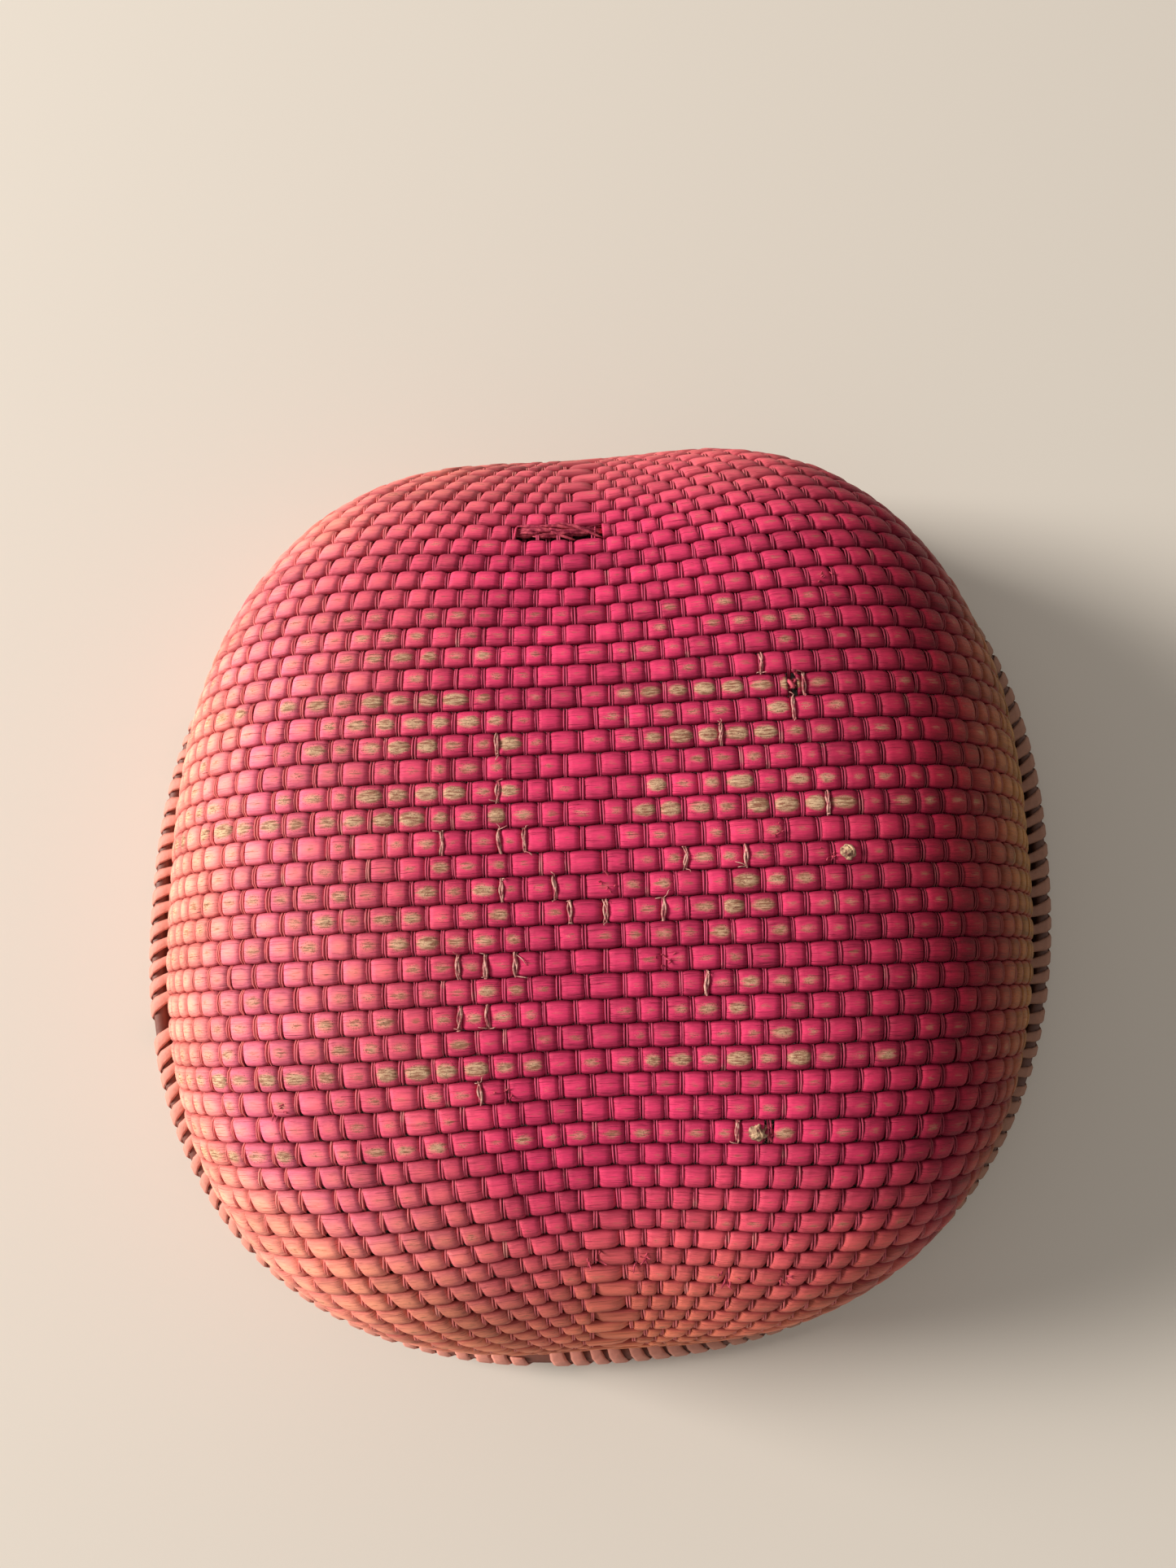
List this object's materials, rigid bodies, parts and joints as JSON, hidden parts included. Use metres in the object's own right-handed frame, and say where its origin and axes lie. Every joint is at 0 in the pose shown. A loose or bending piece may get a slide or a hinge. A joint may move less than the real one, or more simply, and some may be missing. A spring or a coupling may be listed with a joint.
{
  "type": "woven basket",
  "caption": "Deep rounded-square bowl basket, plain-woven from split stalks over paired cords, with a lashed hoop rim, standing mouth down.",
  "frame": {"origin": "centre of the basket's outline on the plane that its rim rests on", "axes": "+Z from the mouth towards the dome, X along the stalks, Y along the cords and the middle line between the two gathers"},
  "size_m": [0.2061, 0.2045, 0.0632],
  "materials": {
    "stalk": "dyed split stalk, satin, worn pale on the crowns",
    "cord": "thin twisted fibre, dull",
    "hoop": "bent reed, dull",
    "lashing": "flat dyed strip, dull"
  },
  "bodies": {
    "root": {"inner_hoop": "hoop", "inner_lashing": "lashing", "outer_hoop": "hoop", "outer_lashing": "lashing", "warp_cords_1": "cord", "warp_cords_2": "cord", "warp_cords_3": "cord", "warp_cords_4": "cord", "warp_cords_5": "cord", "warp_cords_6": "cord", "warp_cords_7": "cord", "warp_cords_8": "cord", "weft_stalk_01": "stalk", "weft_stalk_02": "stalk", "weft_stalk_03": "stalk", "weft_stalk_04": "stalk", "weft_stalk_05": "stalk", "weft_stalk_06": "stalk", "weft_stalk_07": "stalk", "weft_stalk_08": "stalk", "weft_stalk_09": "stalk", "weft_stalk_10": "stalk", "weft_stalk_11": "stalk", "weft_stalk_12": "stalk", "weft_stalk_13": "stalk", "weft_stalk_14": "stalk", "weft_stalk_15": "stalk", "weft_stalk_16": "stalk", "weft_stalk_17": "stalk", "weft_stalk_18": "stalk", "weft_stalk_19": "stalk", "weft_stalk_20": "stalk", "weft_stalk_21": "stalk", "weft_stalk_22": "stalk", "weft_stalk_23": "stalk", "weft_stalk_24": "stalk", "weft_stalk_25": "stalk", "weft_stalk_26": "stalk", "weft_stalk_27": "stalk", "weft_stalk_28": "stalk", "weft_stalk_29": "stalk", "weft_stalk_30": "stalk", "weft_stalk_31": "stalk", "weft_stalk_32": "stalk", "weft_stalk_33": "stalk", "weft_stalk_34": "stalk", "weft_stalk_35": "stalk", "weft_stalk_36": "stalk", "weft_stalk_37": "stalk", "weft_stalk_38": "stalk", "weft_stalk_39": "stalk", "weft_stalk_40": "stalk", "weft_stalk_41": "stalk", "weft_stalk_42": "stalk", "weft_stalk_43": "stalk", "weft_stalk_44": "stalk", "weft_stalks_back_end": "stalk", "weft_stalks_front_end": "stalk"}
  },
  "joints": []
}
